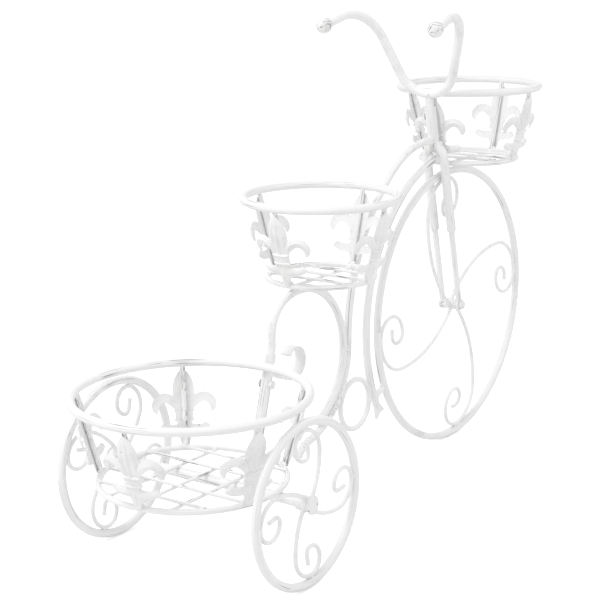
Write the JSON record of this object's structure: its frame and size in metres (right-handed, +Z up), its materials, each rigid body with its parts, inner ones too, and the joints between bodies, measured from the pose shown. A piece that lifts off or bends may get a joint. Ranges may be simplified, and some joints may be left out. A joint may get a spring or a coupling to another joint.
{
  "type": "tricycle plant stand",
  "caption": "Tricycle-shaped wrought iron plant stand: a tall scroll-spoked front wheel, handlebar and open wire baskets with fleur-de-lis plates for flower pots.",
  "frame": {"origin": "on the ground, under the middle of the overall outline", "axes": "+X towards the front wheel, +Y to the left side, +Z up"},
  "size_m": [0.89, 0.2976, 0.5968],
  "materials": {
    "frame_bars": "satin antique white paint over iron",
    "wires": "satin antique white paint over iron",
    "cast_plates": "antique white paint with grey wash in the hollows",
    "fittings": "antique white paint, worn",
    "knobs": "antique white paint with grey scored lines"
  },
  "bodies": {
    "stand": {"arch_bar": "frame_bars", "axle_caps": "fittings", "axle_collars": "fittings", "backbone_bar": "frame_bars", "brace_ring": "frame_bars", "fork_bridge": "frame_bars", "fork_rod_left": "frame_bars", "fork_rod_right": "frame_bars", "fork_sleeve_left": "frame_bars", "fork_sleeve_right": "frame_bars", "front_axle_bolt": "fittings", "front_axle_nut": "fittings", "front_basket_fleurs": "cast_plates", "front_basket_floor_ring": "frame_bars", "front_basket_floor_wires": "wires", "front_basket_rods": "frame_bars", "front_basket_top_ring": "frame_bars", "front_hub": "fittings", "front_rim": "frame_bars", "front_spokes": "wires", "guard_bar": "frame_bars", "handle_knob_left": "knobs", "handle_knob_right": "knobs", "handlebar": "frame_bars", "head_screw": "fittings", "head_tube": "frame_bars", "middle_basket_fleurs": "cast_plates", "middle_basket_floor_ring": "frame_bars", "middle_basket_floor_wires": "wires", "middle_basket_rods": "frame_bars", "middle_basket_top_ring": "frame_bars", "post_bolt": "fittings", "post_nut": "fittings", "rear_axle": "frame_bars", "rear_basket_fleurs": "cast_plates", "rear_basket_floor_ring": "frame_bars", "rear_basket_floor_wires": "wires", "rear_basket_rods": "frame_bars", "rear_basket_top_ring": "frame_bars", "rear_post": "frame_bars", "rim_ties": "frame_bars", "scroll_strip": "frame_bars", "stem": "frame_bars"},
    "left_wheel": {"rear_hub_left": "fittings", "rear_rim_left": "frame_bars", "rear_spokes_left": "wires"},
    "right_wheel": {"rear_hub_right": "fittings", "rear_rim_right": "frame_bars", "rear_spokes_right": "wires"}
  },
  "joints": [
    {"name": "left_wheel_spin", "type": "hinge", "parent": "stand", "child": "left_wheel", "pos_m": [-0.282, 0.1385, 0.097], "axis": [0, 1, 0], "continuous": true},
    {"name": "right_wheel_spin", "type": "hinge", "parent": "stand", "child": "right_wheel", "pos_m": [-0.282, -0.1385, 0.097], "axis": [0, 1, 0], "continuous": true}
  ]
}
